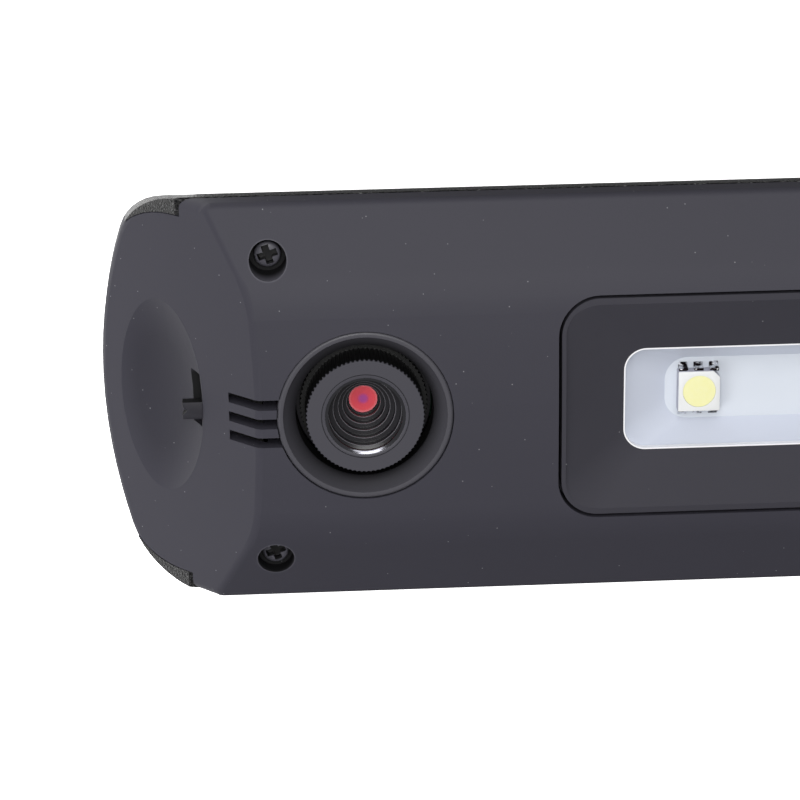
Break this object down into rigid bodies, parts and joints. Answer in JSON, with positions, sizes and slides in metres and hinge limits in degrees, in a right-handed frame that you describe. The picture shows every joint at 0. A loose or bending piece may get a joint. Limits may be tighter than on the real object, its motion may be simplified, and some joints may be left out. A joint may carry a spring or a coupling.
{
  "type": "led work light",
  "caption": "Slim bar work light with a long recessed LED window, a knurled focusing inspection lens, a finger dish with a slide switch and a fold-out hanging bail.",
  "frame": {"origin": "middle of the flat back that the bar lies on", "axes": "+X along the bar from the lens end to the grip end, +Y across it, +Z out of the lamp face"},
  "size_m": [0.244, 0.0494, 0.0224],
  "materials": {
    "cover_black": "fine matte texture, dark grey",
    "rear_grained": "leather grain with a soft gloss, black",
    "bezel_black": "smooth satin, dark grey",
    "white_reflector": "white, satin",
    "led_white": "white LED housing",
    "phosphor": "pale yellow silicone with phosphor",
    "tinned": "bright tin",
    "screw_black": "black oxide",
    "screw_steel": "zinc plated",
    "lens_black": "black anodised",
    "baffle_black": "matte black",
    "coated_glass": "red and purple coated glass",
    "filter_glass": "clear with a cyan cast",
    "sensor": "dark chip",
    "board_green": "green solder mask",
    "board_white": "white solder mask",
    "foam_black": "open cell foam, black",
    "switch_plastic": "black nylon",
    "chip_black": "moulded epoxy",
    "button_rubber": "silicone rubber, dark grey",
    "clear_acrylic": "frosted acrylic",
    "steel": "polished steel",
    "seal_rubber": "soft rubber, black",
    "pouch_foil": "laminated foil pouch",
    "wire_red": "wire insulation, red",
    "ribbon": "flat cable, pale",
    "plug_white": "nylon, natural",
    "magnet_nickel": "nickel plated"
  },
  "bodies": {
    "casing": {"front_cover": "cover_black", "rear_cover": "rear_grained", "case_screws": "screw_black", "window_bezel": "bezel_black", "reflector_tray": "white_reflector", "led_board": "board_white", "led_board_screws": "screw_steel", "led_packages": "led_white", "led_phosphors": "phosphor", "led_leads": "tinned", "lens_surround": "lens_black", "lens_holder": "baffle_black", "ir_filter": "filter_glass", "image_sensor": "sensor", "camera_board": "board_green", "camera_screws": "screw_steel", "vent_foam": "foam_black", "switch_housing": "switch_plastic", "switch_board": "board_green", "switch_screws": "screw_steel", "main_board": "board_green", "main_screws": "screw_steel", "board_chips": "chip_black", "tact_switch": "chip_black", "light_pipe": "clear_acrylic", "flap_pin": "steel", "usb_socket": "steel", "charge_board": "board_green", "battery_cell": "pouch_foil", "battery_pads": "foam_black", "battery_plug": "plug_white", "battery_wires": "wire_red", "led_wires": "wire_red", "camera_ribbon": "ribbon", "magnets": "magnet_nickel"},
    "focus_ring": {"focus_ring": "lens_black"},
    "lens_cell": {"lens_cell": "baffle_black", "front_lens": "coated_glass", "lens_spacer": "baffle_black", "rear_lens": "coated_glass", "lens_retainer": "lens_black"},
    "switch_knob": {"switch_knob": "switch_plastic"},
    "power_button": {"power_button": "button_rubber", "tact_plunger": "switch_plastic"},
    "usb_flap": {"usb_flap": "cover_black", "flap_seal": "seal_rubber"},
    "hang_bail": {"hang_bail": "steel"}
  },
  "joints": [
    {"name": "focus_turn", "type": "hinge", "parent": "casing", "child": "focus_ring", "pos_m": [-0.0907, 0, 0.018], "axis": [0, 0, 1], "range_deg": [-150.2, 150.2]},
    {"name": "lens_travel", "type": "slide", "parent": "casing", "child": "lens_cell", "axis": [0, 0, 1], "range_m": [-0.00063, 0.00063]},
    {"name": "switch_slide", "type": "slide", "parent": "casing", "child": "switch_knob", "axis": [0, 1, 0], "range_m": [0, 0.003]},
    {"name": "button_press", "type": "slide", "parent": "casing", "child": "power_button", "axis": [0, 0, -1], "range_m": [0, 0.0005], "stiffness_N_per_m": 3000},
    {"name": "flap_swing", "type": "hinge", "parent": "casing", "child": "usb_flap", "pos_m": [0.10852, 0, 0.01525], "axis": [0, -1, 0], "range_deg": [0, 95]},
    {"name": "bail_swing", "type": "hinge", "parent": "casing", "child": "hang_bail", "pos_m": [0.092, 0, 0.0017], "axis": [0, -1, 0], "range_deg": [0, 100]}
  ],
  "couplings": [
    {"joint": "focus_turn", "follows": "lens_travel", "rad_per_m": 4188.8}
  ]
}
